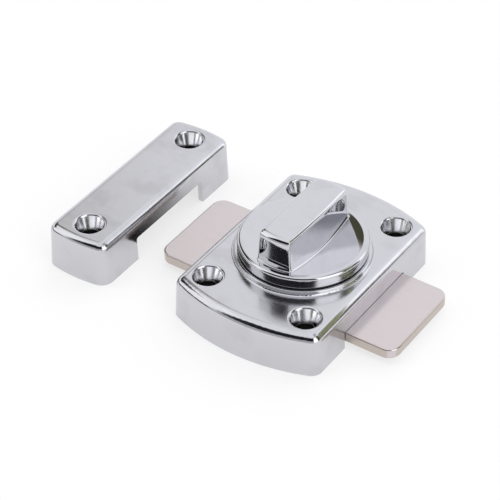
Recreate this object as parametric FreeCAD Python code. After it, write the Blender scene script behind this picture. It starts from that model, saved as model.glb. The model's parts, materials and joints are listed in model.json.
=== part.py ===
"""Knob-turned door bolt latch with its keeper, modelled in FreeCAD.

A flat bolt slides through a low cast housing. The knob on top turns a spindle and a pinion,
and the pinion drives a rack riveted on the bolt, so a quarter turn of the knob either way
throws the bolt to that side. A steel back plate carries the bolt from below, and a sprung
ball clicks into seats in the bolt at its two thrown positions and in the middle. The keeper
is a second hollow casting that takes the end of the bolt.

Frame: millimetres, +Z up and out of the door, origin where the knob's axis meets the plane
that the latch is screwed to. X runs along the bolt, with the keeper on the -X side, and Y
runs along the housing. The bolt is modelled in the middle of its travel.
"""

import FreeCAD
import Part

import math
import os

Vector = FreeCAD.Vector

# ---- Castings: housing
HOUSING_LENGTH = 66.6  # over the two curved ends, at the base
HOUSING_WIDTH = 46.0  # over the two straight sides, at the base
HOUSING_HEIGHT = 12.5
HOUSING_END_RADIUS = 56.0
HOUSING_CORNER_RADIUS = 3.4
HOUSING_WALL = 2.0
HOUSING_TOP_WALL = 2.5
HOUSING_EDGE_RADIUS = 2.7  # rounding of the top edge
HOUSING_SCREW_INSET_X = 7.6  # from the straight side to a screw's axis
HOUSING_SCREW_INSET_Y = 10.6  # from the curved end to a screw's axis
KNOB_SEAT_RADIUS = 18.9  # raised round seat under the knob
KNOB_SEAT_HEIGHT = 1.25
KNOB_SEAT_TAPER = 0.3
KNOB_SEAT_ROOT_RADIUS = 0.5
KNOB_SEAT_RIM_RADIUS = 0.3

# ---- Castings: keeper
KEEPER_LENGTH = 63.0
KEEPER_WIDTH = 20.3
KEEPER_HEIGHT = 13.2
KEEPER_END_RADIUS = 40.0
KEEPER_CORNER_RADIUS = 3.6
KEEPER_WALL = 1.5
KEEPER_TOP_WALL = 2.2
KEEPER_EDGE_RADIUS = 2.2
KEEPER_SCREW_INSET = 8.15
KEEPER_DISTANCE = 54.2  # from the knob's axis to the keeper's middle
KEEPER_MOUTH_SIDE_GAP = 0.75  # between the bolt's edge and the mouth, each side
KEEPER_MOUTH_TOP_GAP = 2.05
MOUTH_CORNER_RADIUS = 0.7

# ---- Castings: both
DRAFT_DEG = 2.5
SCREW_HOLE_RADIUS = 2.8
COUNTERSINK_RADIUS = 4.2  # of the cone alone, at the top face
COUNTERSINK_DEPTH = 4.2
COUNTERSINK_LIP_RADIUS = 0.7
SCREW_BOSS_RADIUS = 4.8
WEB_THICKNESS = 1.6

# ---- Bolt
BOLT_LENGTH = 75.0
BOLT_WIDTH = 29.5
BOLT_THICKNESS = 3.0
BOLT_CORNER_RADIUS = 3.6
BOLT_EDGE_RADIUS = 0.45
BOLT_SIDE_CLEARANCE = 0.25
BOLT_TOP_CLEARANCE = 0.15
BOLT_BOTTOM_CLEARANCE = 0.1

# ---- Back plate and its screws
BACK_PLATE_RECESS = 0.8
BACK_PLATE_THICKNESS = 1.2
BACK_PLATE_EDGE_GAP = 0.4
PLATE_SCREW_X = 6.2
PLATE_SCREW_RADIUS = 1.15
PLATE_SCREW_LENGTH = 5.5
PLATE_SCREW_HEAD_RADIUS = 2.1
PLATE_SCREW_HEAD_HEIGHT = 0.7
PLATE_BOSS_RADIUS = 2.6
PLATE_BOSS_OVERLAP = 0.8  # how far the boss runs into the guide rib
GUIDE_RIB_THICKNESS = 1.5
THREAD_CLEARANCE = 0.05

# ---- Knob
KNOB_RADIUS = 17.8
KNOB_DISC_THICKNESS = 3.3
KNOB_RIM_EDGE_RADIUS = 0.9
KNOB_DISH_RADIUS = 16.2
KNOB_DISH_DEPTH = 2.0
GRIP_WIDTH = 9.0  # at the corners of its top
GRIP_LENGTH = 29.6  # at the middle of its top
GRIP_HEIGHT = 9.3  # above the disc
GRIP_SIDE_BULGE = 0.45  # how far a side stands out in its middle
GRIP_END_BULGE = 0.6
GRIP_SIDE_DRAFT_DEG = 3.5
GRIP_END_DRAFT_DEG = 0.8
GRIP_END_EDGE_RADIUS = 1.6
GRIP_SIDE_EDGE_RADIUS = 0.8
GRIP_CORE_WALL = 2.2
KNOB_WASHER_THICKNESS = 0.4
KNOB_WASHER_INSET = 0.7

# ---- Spindle and what is on it
SPINDLE_RADIUS = 4.0
SPINDLE_RUNNING_GAP = 0.05
SPINDLE_SQUARE = 5.2  # across the flats, at both ends
SPINDLE_SOCKET_DEPTH = 6.0
SQUARE_CLEARANCE = 0.04
BUSH_WALL = 1.2
PINION_TEETH = 12
PRESSURE_ANGLE_DEG = 25.0
TOOTH_BACKLASH = 0.2
RACK_STOP_GAP = 0.2  # between the rack's end and the housing wall, bolt fully thrown
WAVE_WASHER_SPACE = 1.2
WAVE_WASHER_THICKNESS = 0.35
WAVE_WASHER_WIDTH = 2.0
RETAINING_WASHER_RADIUS = 4.5
RETAINING_WASHER_THICKNESS = 0.65
SPINDLE_SCREW_RADIUS = 1.5
SPINDLE_SCREW_BITE = 4.0  # length of its thread in the knob, past the spindle
SPINDLE_SCREW_HEAD_RADIUS = 2.9
SPINDLE_SCREW_HEAD_HEIGHT = 2.1
HEAD_CLEARANCE = 0.35

# ---- Rack
RACK_BACK = 3.4
RIVET_RADIUS = 1.1
RIVET_HEAD_RADIUS = 1.8
RIVET_HEAD_HEIGHT = 0.6
RIVET_SPACING_SHARE_OF_TRAVEL = 0.75

# ---- Detent
DETENT_BALL_RADIUS = 1.5
DETENT_GROOVE_DEPTH = 0.35
DETENT_SEAT_DEPTH = 0.25
DETENT_CLEARANCE = 0.05
DETENT_BOSS_WALL = 1.4
DETENT_BOSS_GAP = 1.0
DETENT_POCKET_CAP = 1.2  # metal left above the pocket
DETENT_SPRING_WIRE = 0.35
DETENT_SPRING_TURNS = 4.5

# ---- Worked out from the sizes above
QUARTER_TURN = math.pi / 2
DRAFT = math.tan(math.radians(DRAFT_DEG))
CEILING = HOUSING_HEIGHT - HOUSING_TOP_WALL
PLATE_TOP = BACK_PLATE_RECESS + BACK_PLATE_THICKNESS
BOLT_BOTTOM = PLATE_TOP + BOLT_BOTTOM_CLEARANCE
BOLT_TOP = BOLT_BOTTOM + BOLT_THICKNESS
CHANNEL_TOP = BOLT_TOP + BOLT_TOP_CLEARANCE
CHANNEL_HALF = BOLT_WIDTH / 2 + BOLT_SIDE_CLEARANCE
PINION_TOP = CEILING - WAVE_WASHER_SPACE
PINION_BOTTOM = CHANNEL_TOP + RETAINING_WASHER_THICKNESS
RACK_ROOM = HOUSING_WIDTH / 2 - PINION_TOP * DRAFT - HOUSING_WALL
# A half turn moves the rack by pi pitch radii, and it ends half a tooth past its last mesh.
PITCH_RADIUS = (RACK_ROOM - RACK_STOP_GAP) / (math.pi * (1 + 1 / PINION_TEETH))
MODULE = 2 * PITCH_RADIUS / PINION_TEETH
TOOTH_PITCH = math.pi * MODULE
ADDENDUM = MODULE
DEDENDUM = 1.25 * MODULE
BOLT_TRAVEL = PITCH_RADIUS * QUARTER_TURN
RACK_HALF_LENGTH = BOLT_TRAVEL + TOOTH_PITCH / 2
HOUSING_SCREW_X = HOUSING_WIDTH / 2 - HOUSING_SCREW_INSET_X
HOUSING_SCREW_Y = HOUSING_LENGTH / 2 - HOUSING_SCREW_INSET_Y
KEEPER_SCREW_Y = KEEPER_LENGTH / 2 - KEEPER_SCREW_INSET
KEEPER_MOUTH_HALF = BOLT_WIDTH / 2 + KEEPER_MOUTH_SIDE_GAP
KEEPER_MOUTH_TOP = BOLT_TOP + KEEPER_MOUTH_TOP_GAP
PLATE_SCREW_Y = CHANNEL_HALF + GUIDE_RIB_THICKNESS + PLATE_BOSS_RADIUS - PLATE_BOSS_OVERLAP
BUSH_RADIUS = SPINDLE_RADIUS + SPINDLE_RUNNING_GAP + BUSH_WALL
SEAT_TOP = HOUSING_HEIGHT + KNOB_SEAT_HEIGHT
KNOB_BOTTOM = SEAT_TOP + KNOB_WASHER_THICKNESS
DISC_TOP = KNOB_BOTTOM + KNOB_DISC_THICKNESS
GRIP_TOP = DISC_TOP + GRIP_HEIGHT
DETENT_BOSS_RADIUS = DETENT_BALL_RADIUS + DETENT_CLEARANCE + DETENT_BOSS_WALL
DETENT_Y = PITCH_RADIUS + ADDENDUM + DETENT_BOSS_GAP + DETENT_BOSS_RADIUS
BALL_Z = BOLT_TOP - DETENT_GROOVE_DEPTH + DETENT_CLEARANCE + DETENT_BALL_RADIUS
POCKET_TOP = HOUSING_HEIGHT - DETENT_POCKET_CAP
SPINDLE_TOP = KNOB_BOTTOM + SPINDLE_SOCKET_DEPTH - 2 * SQUARE_CLEARANCE
SPINDLE_SCREW_TOP = SPINDLE_TOP + SPINDLE_SCREW_BITE


# ---------------------------------------------------------------- small helpers
def cylinder(radius, z_low, z_high, x=0.0, y=0.0):
    """An upright cylinder between two heights."""
    return Part.makeCylinder(radius, z_high - z_low, Vector(x, y, z_low))


def ring(outer, inner, z_low, z_high, x=0.0, y=0.0):
    """An upright tube between two heights."""
    return cylinder(outer, z_low, z_high, x, y).cut(cylinder(inner, z_low, z_high, x, y))


def block(x_low, x_high, y_low, y_high, z_low, z_high):
    """A box given by its limits."""
    corner = Vector(x_low, y_low, z_low)
    return Part.makeBox(x_high - x_low, y_high - y_low, z_high - z_low, corner)


def square_bar(across_flats, z_low, z_high):
    """An upright square bar on the knob's axis."""
    half = across_flats / 2
    return block(-half, half, -half, half, z_low, z_high)


def arc(first, middle, last):
    """The edge of a circular arc through three points."""
    return Part.Arc(first, middle, last).toShape()


def edges_at_height(shape, z):
    """The edges of a shape that lie wholly in one level plane."""
    return [e for e in shape.Edges if max(abs(e.BoundBox.ZMin - z), abs(e.BoundBox.ZMax - z)) < 1e-4]


def four_corners(x, y):
    """The points (+-x, +-y)."""
    return [(sx * x, sy * y) for sx in (-1, 1) for sy in (-1, 1)]


def fuse_all(first, others):
    """One solid made of several that touch or overlap, without the seams between them."""
    return first.fuse(others).removeSplitter()


def export(shape, node):
    """Writes one named sub-part, as closed solids."""
    solids = shape.Solids
    assert solids and all(s.isValid() and s.isClosed() for s in solids), node
    shape.exportStep(os.path.join("parts", node + ".step"))
    volume = sum(s.Volume for s in solids)
    print("%-18s %d solid(s) %9.1f mm3" % (node, len(solids), volume))


# ---------------------------------------------------------------- castings
def barrel_wire(half_width, half_length, end_radius, corner_radius, z):
    """Two straight sides along Y, two curved ends, and rounded corners, at one height."""
    end_centre = half_length - end_radius
    corner_x = half_width - corner_radius
    reach = end_radius - corner_radius
    corner_y = end_centre + math.sqrt(reach**2 - corner_x**2)
    corner = Vector(corner_x, corner_y, z)
    outward = (corner - Vector(0, end_centre, z)).normalize()
    tangent = corner + outward * corner_radius
    bulge = corner + (outward + Vector(1, 0, 0)).normalize() * corner_radius

    def at(point, sx, sy):
        return Vector(sx * point.x, sy * point.y, z)

    side = Vector(half_width, corner_y, z)
    tip = Vector(0, half_length, z)
    edges = []
    for s in (1, -1):
        edges += [
            Part.LineSegment(at(side, s, -s), at(side, s, s)).toShape(),
            arc(at(side, s, s), at(bulge, s, s), at(tangent, s, s)),
            arc(at(tangent, s, s), at(tip, s, s), at(tangent, -s, s)),
            arc(at(tangent, -s, s), at(bulge, -s, s), at(side, -s, s)),
        ]
    return Part.Wire(edges)


def drafted_barrel(half_width, half_length, end_radius, corner_radius, inset, height):
    """A solid on the base plane whose walls lean inwards by the casting draft."""

    def wire(z):
        shrink = inset + z * DRAFT
        return barrel_wire(
            half_width - shrink, half_length - shrink, end_radius - shrink, corner_radius - shrink, z
        )

    return Part.makeLoft([wire(0.0), wire(height)], True, True)


def cast_shell(half_width, half_length, end_radius, corner_radius, height, edge_radius, wall, top_wall):
    """An open-bottomed casting with a rounded top edge, and the room inside it."""
    outline = (half_width, half_length, end_radius, corner_radius)
    outside = drafted_barrel(*outline, 0.0, height)
    outside = outside.makeFillet(edge_radius, edges_at_height(outside, height))
    inside = drafted_barrel(*outline, wall, height - top_wall)
    return outside.cut(inside), inside


def countersunk_hole(x, y, top):
    """The cutter for a screw hole: a bore, a steep cone and a rounded lip, turned about its axis."""
    lean = math.atan((COUNTERSINK_RADIUS - SCREW_HOLE_RADIUS) / COUNTERSINK_DEPTH)
    lip_radius = COUNTERSINK_RADIUS + COUNTERSINK_LIP_RADIUS * math.tan((math.pi / 2 - lean) / 2)

    def on_lip(angle):
        across = lip_radius + COUNTERSINK_LIP_RADIUS * math.cos(angle)
        return Vector(across, 0, top + COUNTERSINK_LIP_RADIUS * (math.sin(angle) - 1))

    first, last = math.pi / 2, math.pi - lean
    lip = arc(on_lip(first), on_lip((first + last) / 2), on_lip(last))
    corners = [
        on_lip(last),
        Vector(SCREW_HOLE_RADIUS, 0, top - COUNTERSINK_DEPTH),
        Vector(SCREW_HOLE_RADIUS, 0, -1),
        Vector(0, 0, -1),
        Vector(0, 0, top + 1),
        Vector(lip_radius, 0, top + 1),
        on_lip(first),
    ]
    sides = [Part.LineSegment(low, high).toShape() for low, high in zip(corners, corners[1:])]
    cutter = Part.Face(Part.Wire([lip] + sides)).revolve(Vector(0, 0, 0), Vector(0, 0, 1), 360)
    cutter.translate(Vector(x, y, 0))
    return cutter


def knob_seat():
    """The raised round seat under the knob, with a rounded rim."""
    seat = Part.makeCone(
        KNOB_SEAT_RADIUS, KNOB_SEAT_RADIUS - KNOB_SEAT_TAPER, KNOB_SEAT_HEIGHT, Vector(0, 0, HOUSING_HEIGHT)
    )
    return seat.makeFillet(KNOB_SEAT_RIM_RADIUS, edges_at_height(seat, SEAT_TOP))


def housing():
    """The cast body: shell, knob seat, screw bosses, bolt channel, guide ribs and detent boss."""
    half_x, half_y = HOUSING_WIDTH / 2, HOUSING_LENGTH / 2
    shell, room = cast_shell(
        half_x,
        half_y,
        HOUSING_END_RADIUS,
        HOUSING_CORNER_RADIUS,
        HOUSING_HEIGHT,
        HOUSING_EDGE_RADIUS,
        HOUSING_WALL,
        HOUSING_TOP_WALL,
    )
    shell = fuse_all(shell, [knob_seat()])
    seat_root = [
        e
        for e in edges_at_height(shell, HOUSING_HEIGHT)
        if abs(e.BoundBox.XLength / 2 - KNOB_SEAT_RADIUS) < 1e-3
    ]
    shell = shell.makeFillet(KNOB_SEAT_ROOT_RADIUS, seat_root)
    inside = []
    for x, y in four_corners(HOUSING_SCREW_X, HOUSING_SCREW_Y):
        sx, sy = math.copysign(1, x), math.copysign(1, y)
        inside.append(cylinder(SCREW_BOSS_RADIUS, 0, CEILING, x, y))
        half_web = WEB_THICKNESS / 2
        to_side = sorted((x, sx * half_x))
        to_end = sorted((y, sy * half_y))
        inside.append(block(*to_side, y - half_web, y + half_web, 0, CEILING))
        inside.append(block(x - half_web, x + half_web, *to_end, 0, CEILING))
    for x, y in four_corners(PLATE_SCREW_X, PLATE_SCREW_Y):
        inside.append(cylinder(PLATE_BOSS_RADIUS, PLATE_TOP, CEILING, x, y))
    for side in (-1, 1):
        rib = sorted((side * CHANNEL_HALF, side * (CHANNEL_HALF + GUIDE_RIB_THICKNESS)))
        inside.append(block(-half_x, half_x, *rib, PLATE_TOP, CEILING))
    detent_bottom = CHANNEL_TOP + BOLT_TOP_CLEARANCE
    inside.append(cylinder(DETENT_BOSS_RADIUS, detent_bottom, CEILING, 0, DETENT_Y))
    features = [feature.common(room) for feature in inside]
    body = fuse_all(shell, features)
    cutters = [block(-half_x - 1, half_x + 1, -CHANNEL_HALF, CHANNEL_HALF, -1, CHANNEL_TOP)]
    cutters.append(cylinder(BUSH_RADIUS, 0, SEAT_TOP + 1))
    cutters.append(cylinder(DETENT_BALL_RADIUS + DETENT_CLEARANCE, 0, POCKET_TOP, 0, DETENT_Y))
    for x, y in four_corners(HOUSING_SCREW_X, HOUSING_SCREW_Y):
        cutters.append(countersunk_hole(x, y, HOUSING_HEIGHT))
    pilot_top = PLATE_TOP + PLATE_SCREW_LENGTH
    for x, y in four_corners(PLATE_SCREW_X, PLATE_SCREW_Y):
        cutters.append(cylinder(PLATE_SCREW_RADIUS + THREAD_CLEARANCE, 0, pilot_top, x, y))
    return body.cut(cutters)


def keeper():
    """The cast strike: a hollow bridge with two screw bosses and a mouth facing the housing."""
    half_x, half_y = KEEPER_WIDTH / 2, KEEPER_LENGTH / 2
    shell, room = cast_shell(
        half_x,
        half_y,
        KEEPER_END_RADIUS,
        KEEPER_CORNER_RADIUS,
        KEEPER_HEIGHT,
        KEEPER_EDGE_RADIUS,
        KEEPER_WALL,
        KEEPER_TOP_WALL,
    )
    ceiling = KEEPER_HEIGHT - KEEPER_TOP_WALL
    inside = []
    for side in (-1, 1):
        y = side * KEEPER_SCREW_Y
        half_web = WEB_THICKNESS / 2
        inside.append(cylinder(SCREW_BOSS_RADIUS, 0, ceiling, 0, y))
        inside.append(block(-half_web, half_web, *sorted((y, side * half_y)), 0, ceiling))
    body = fuse_all(shell, [feature.common(room) for feature in inside])
    mouth = block(0, half_x + 1, -KEEPER_MOUTH_HALF, KEEPER_MOUTH_HALF, -1, KEEPER_MOUTH_TOP)
    mouth = mouth.makeFillet(
        MOUTH_CORNER_RADIUS,
        [e for e in edges_at_height(mouth, KEEPER_MOUTH_TOP) if e.BoundBox.YLength < 1e-6],
    )
    cutters = [mouth] + [countersunk_hole(0, s * KEEPER_SCREW_Y, KEEPER_HEIGHT) for s in (-1, 1)]
    body = body.cut(cutters)
    body.translate(Vector(-KEEPER_DISTANCE, 0, 0))
    return body


# ---------------------------------------------------------------- back plate
def back_plate():
    """The steel plate under the bolt, with two tabs that take its screws."""
    half_x = HOUSING_WIDTH / 2 - HOUSING_WALL - BACK_PLATE_EDGE_GAP - PLATE_TOP * DRAFT
    half_y = CHANNEL_HALF + GUIDE_RIB_THICKNESS
    tab_x = PLATE_SCREW_X + PLATE_BOSS_RADIUS
    tab_y = PLATE_SCREW_Y + PLATE_BOSS_RADIUS
    band = block(-half_x, half_x, -half_y, half_y, BACK_PLATE_RECESS, PLATE_TOP)
    tabs = block(-tab_x, tab_x, -tab_y, tab_y, BACK_PLATE_RECESS, PLATE_TOP)
    plate = band.fuse(tabs).removeSplitter()
    cutters = []
    for x, y in four_corners(HOUSING_SCREW_X, HOUSING_SCREW_Y):
        cutters.append(cylinder(SCREW_BOSS_RADIUS + BACK_PLATE_EDGE_GAP, 0, PLATE_TOP, x, y))
    for x, y in four_corners(PLATE_SCREW_X, PLATE_SCREW_Y):
        cutters.append(cylinder(PLATE_SCREW_RADIUS + 2 * THREAD_CLEARANCE, 0, PLATE_TOP, x, y))
    return plate.cut(cutters)


def cross_recess(radius, z_low, z_high, x=0.0, y=0.0):
    """The cutter for a cross-shaped driver recess."""
    half = radius / 5
    long_way = block(x - radius, x + radius, y - half, y + half, z_low, z_high)
    return long_way.fuse(block(x - half, x + half, y - radius, y + radius, z_low, z_high))


def pan_head_screw(radius, length, head_radius, head_height, seat_z, x=0.0, y=0.0):
    """A screw driven upwards from below, with its pan head under the seat."""
    head = cylinder(head_radius, seat_z - head_height, seat_z, x, y)
    head = head.makeFillet(head_height * 0.45, edges_at_height(head, seat_z - head_height))
    shank = cylinder(radius, seat_z, seat_z + length, x, y)
    shank = shank.makeChamfer(radius * 0.3, edges_at_height(shank, seat_z + length))
    recess_depth = head_height * 0.6
    recess = cross_recess(head_radius * 0.55, seat_z - head_height, seat_z - head_height + recess_depth, x, y)
    return head.fuse(shank).removeSplitter().cut(recess)


def back_plate_screws():
    """The four thread-forming screws that hold the back plate."""
    screws = [
        pan_head_screw(
            PLATE_SCREW_RADIUS,
            PLATE_SCREW_LENGTH,
            PLATE_SCREW_HEAD_RADIUS,
            PLATE_SCREW_HEAD_HEIGHT,
            BACK_PLATE_RECESS,
            x,
            y,
        )
        for x, y in four_corners(PLATE_SCREW_X, PLATE_SCREW_Y)
    ]
    return Part.makeCompound(screws)


# ---------------------------------------------------------------- bolt and rack
def rivet_places():
    """Where the two rivets stand, in the middle of the rack's back."""
    y = -(PITCH_RADIUS + DEDENDUM + RACK_BACK / 2)
    x = BOLT_TRAVEL * RIVET_SPACING_SHARE_OF_TRAVEL
    return [(-x, y), (x, y)]


def bolt_plate():
    """The flat double-ended bolt, slotted for the screw head and seated for the detent ball."""
    half_x, half_y = BOLT_LENGTH / 2, BOLT_WIDTH / 2
    plate = block(-half_x, half_x, -half_y, half_y, BOLT_BOTTOM, BOLT_TOP)
    corners = [e for e in plate.Edges if abs(e.BoundBox.ZLength - BOLT_THICKNESS) < 1e-6]
    plate = plate.makeFillet(BOLT_CORNER_RADIUS, corners)
    rims = edges_at_height(plate, BOLT_TOP) + edges_at_height(plate, BOLT_BOTTOM)
    plate = plate.makeFillet(BOLT_EDGE_RADIUS, rims)
    slot_radius = SPINDLE_SCREW_HEAD_RADIUS + HEAD_CLEARANCE
    slot = block(-BOLT_TRAVEL, BOLT_TRAVEL, -slot_radius, slot_radius, 0, CEILING)
    ends = [cylinder(slot_radius, 0, CEILING, s * BOLT_TRAVEL) for s in (-1, 1)]
    cutters = [slot.fuse(ends)]
    run_radius = DETENT_BALL_RADIUS + DETENT_CLEARANCE
    run = Part.makeCylinder(run_radius, 2 * BOLT_TRAVEL, Vector(-BOLT_TRAVEL, DETENT_Y, BALL_Z), Vector(1, 0, 0))
    cutters.append(run)
    for x in (-BOLT_TRAVEL, 0, BOLT_TRAVEL):
        cutters.append(Part.makeSphere(run_radius, Vector(x, DETENT_Y, BALL_Z - DETENT_SEAT_DEPTH)))
    for x, y in rivet_places():
        cutters.append(cylinder(RIVET_RADIUS, BOLT_BOTTOM, BOLT_TOP, x, y))
        sink = Part.makeCone(RIVET_HEAD_RADIUS, RIVET_RADIUS, RIVET_HEAD_HEIGHT, Vector(x, y, BOLT_BOTTOM))
        cutters.append(sink)
    return plate.cut(cutters)


def rack():
    """The toothed bar on the bolt, its teeth towards the pinion and a gap in line with its axis."""
    pitch_y = -PITCH_RADIUS
    tip_y, root_y = pitch_y + ADDENDUM, pitch_y - DEDENDUM
    back_y = root_y - RACK_BACK
    bar = block(-RACK_HALF_LENGTH, RACK_HALF_LENGTH, back_y, tip_y, BOLT_TOP, PINION_TOP)
    slope = math.tan(math.radians(PRESSURE_ANGLE_DEG))
    half_gap = (TOOTH_PITCH / 2 + TOOTH_BACKLASH / 2) / 2
    tip_half = half_gap + ADDENDUM * slope
    root_half = half_gap - DEDENDUM * slope
    reach = int(RACK_HALF_LENGTH // TOOTH_PITCH) + 1
    gaps = []
    for i in range(-reach, reach + 1):
        x = i * TOOTH_PITCH
        corners = [(x - tip_half, tip_y), (x - root_half, root_y), (x + root_half, root_y), (x + tip_half, tip_y)]
        wire = Part.makePolygon([Vector(px, py, BOLT_TOP) for px, py in corners + corners[:1]])
        gaps.append(Part.Face(wire).extrude(Vector(0, 0, PINION_TOP - BOLT_TOP)))
    holes = [cylinder(RIVET_RADIUS, BOLT_TOP, PINION_TOP, x, y) for x, y in rivet_places()]
    return bar.cut(gaps).cut(holes)


def rack_rivets():
    """The two rivets: countersunk heads flush under the bolt, round heads on the rack."""
    rivets = []
    for x, y in rivet_places():
        shank = cylinder(RIVET_RADIUS, BOLT_BOTTOM, PINION_TOP, x, y)
        foot = Part.makeCone(RIVET_HEAD_RADIUS, RIVET_RADIUS, RIVET_HEAD_HEIGHT, Vector(x, y, BOLT_BOTTOM))
        head = cylinder(RIVET_HEAD_RADIUS, PINION_TOP, PINION_TOP + RIVET_HEAD_HEIGHT, x, y)
        head = head.makeFillet(RIVET_HEAD_HEIGHT * 0.7, edges_at_height(head, PINION_TOP + RIVET_HEAD_HEIGHT))
        rivets.append(shank.fuse([foot, head]).removeSplitter())
    return Part.makeCompound(rivets)


# ---------------------------------------------------------------- knob and spindle
def grip_wire(z):
    """The grip's section at one height: four shallow arcs, wider towards the disc."""
    below = GRIP_TOP - z
    half_x = GRIP_WIDTH / 2 + below * math.tan(math.radians(GRIP_SIDE_DRAFT_DEG))
    half_y = GRIP_LENGTH / 2 - GRIP_END_BULGE + below * math.tan(math.radians(GRIP_END_DRAFT_DEG))
    edges = []
    for s in (1, -1):
        near = Vector(s * half_x, -s * half_y, z)
        far = Vector(s * half_x, s * half_y, z)
        across = Vector(-s * half_x, s * half_y, z)
        edges.append(arc(near, Vector(s * (half_x + GRIP_SIDE_BULGE), 0, z), far))
        edges.append(arc(far, Vector(0, s * (half_y + GRIP_END_BULGE), z), across))
    return Part.Wire(edges)


def grip(low):
    """The straight grip from a given height up, rounded over more at its ends than its sides."""
    body = Part.makeLoft([grip_wire(low), grip_wire(GRIP_TOP)], True, True)
    ends = [e for e in edges_at_height(body, GRIP_TOP) if e.BoundBox.XLength > e.BoundBox.YLength]
    body = body.makeFillet(GRIP_END_EDGE_RADIUS, ends)
    side_edges = [
        e
        for e in body.Edges
        if max(e.BoundBox.XMin, -e.BoundBox.XMax) > GRIP_WIDTH / 2 - 0.01 and e.BoundBox.ZMax > low + 0.01
    ]
    return body.makeFillet(GRIP_SIDE_EDGE_RADIUS, side_edges)


def knob():
    """The cast knob: a dished disc with a straight grip across it, cored out from below."""
    disc = cylinder(KNOB_RADIUS, KNOB_BOTTOM, DISC_TOP)
    disc = disc.makeFillet(KNOB_RIM_EDGE_RADIUS, edges_at_height(disc, DISC_TOP))
    dish_sphere = (KNOB_DISH_RADIUS**2 + KNOB_DISH_DEPTH**2) / (2 * KNOB_DISH_DEPTH)
    dish = Part.makeSphere(dish_sphere, Vector(0, 0, DISC_TOP - KNOB_DISH_DEPTH + dish_sphere))
    body = disc.cut(dish).fuse(grip(DISC_TOP - KNOB_DISH_DEPTH)).removeSplitter()
    socket_top = KNOB_BOTTOM + SPINDLE_SOCKET_DEPTH
    cutters = [square_bar(SPINDLE_SQUARE + 2 * SQUARE_CLEARANCE, KNOB_BOTTOM, socket_top)]
    cutters.append(cylinder(SPINDLE_SCREW_RADIUS + THREAD_CLEARANCE, KNOB_BOTTOM, SPINDLE_SCREW_TOP))
    core_half = GRIP_WIDTH / 2 - GRIP_CORE_WALL
    core_near = SPINDLE_RADIUS + GRIP_CORE_WALL / 2
    core_far = GRIP_LENGTH / 2 - GRIP_CORE_WALL
    for low, high in ((-core_far, -core_near), (core_near, core_far)):
        cutters.append(block(-core_half, core_half, low, high, KNOB_BOTTOM, GRIP_TOP - GRIP_CORE_WALL))
    return body.cut(cutters)


def knob_washer():
    """The thin plastic washer that the knob turns on."""
    return ring(KNOB_RADIUS - KNOB_WASHER_INSET, BUSH_RADIUS, SEAT_TOP, KNOB_BOTTOM)


def spindle():
    """The steel spindle: a round journal between a square for the knob and one for the pinion."""
    journal = cylinder(SPINDLE_RADIUS, PINION_TOP, KNOB_BOTTOM)
    lower = square_bar(SPINDLE_SQUARE, PINION_BOTTOM, PINION_TOP)
    upper = square_bar(SPINDLE_SQUARE, KNOB_BOTTOM, SPINDLE_TOP)
    body = fuse_all(journal, [lower, upper])
    return body.cut(cylinder(SPINDLE_SCREW_RADIUS + 2 * THREAD_CLEARANCE, PINION_BOTTOM, SPINDLE_TOP))


def spindle_bush():
    """The plain bush in the housing that the spindle turns in."""
    return ring(BUSH_RADIUS, SPINDLE_RADIUS + SPINDLE_RUNNING_GAP, CEILING, SEAT_TOP)


def pinion():
    """An involute pinion with a tooth pointing at the rack, on the spindle's lower square."""
    pressure = math.radians(PRESSURE_ANGLE_DEG)
    base, tip, root = PITCH_RADIUS * math.cos(pressure), PITCH_RADIUS + ADDENDUM, PITCH_RADIUS - DEDENDUM
    half_tooth = (TOOTH_PITCH / 2 - TOOTH_BACKLASH / 2) / (2 * PITCH_RADIUS)
    flank_steps = 5

    def involute(angle):
        return math.tan(angle) - angle

    def point(radius, angle):
        return Vector(radius * math.sin(angle), -radius * math.cos(angle), PINION_BOTTOM)

    def flank(side, centre):
        """The points of one flank from its foot to its tip, worked out from the involute."""
        points = []
        for i in range(flank_steps):
            radius = base + (tip - base) * i / (flank_steps - 1)
            offset = half_tooth + involute(pressure) - involute(math.acos(min(1.0, base / radius)))
            points.append(point(radius, centre + side * offset))
        return points

    edges = []
    step = 2 * math.pi / PINION_TEETH
    for i in range(PINION_TEETH):
        centre = i * step
        rising, falling = flank(-1, centre), flank(1, centre)
        next_foot = flank(-1, centre + step)[0]
        foot_angle = math.atan2(falling[0].x, -falling[0].y)
        next_angle = math.atan2(next_foot.x, -next_foot.y)
        root_in, root_out = point(root, foot_angle), point(root, next_angle)
        first_angle = math.atan2(rising[0].x, -rising[0].y)
        edges.append(Part.LineSegment(point(root, first_angle), rising[0]).toShape())
        for side in (rising, falling[::-1]):
            curve = Part.BSplineCurve()
            curve.interpolate(side)
            edges.append(curve.toShape())
            if side is rising:
                edges.append(arc(rising[-1], point(tip, centre), falling[-1]))
        edges.append(Part.LineSegment(falling[0], root_in).toShape())
        edges.append(arc(root_in, point(root, centre + step / 2), root_out))
    face = Part.Face(Part.Wire(Part.__sortEdges__(edges)))
    gear = face.extrude(Vector(0, 0, PINION_TOP - PINION_BOTTOM))
    return gear.cut(square_bar(SPINDLE_SQUARE + 2 * SQUARE_CLEARANCE, PINION_BOTTOM, PINION_TOP))


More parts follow.
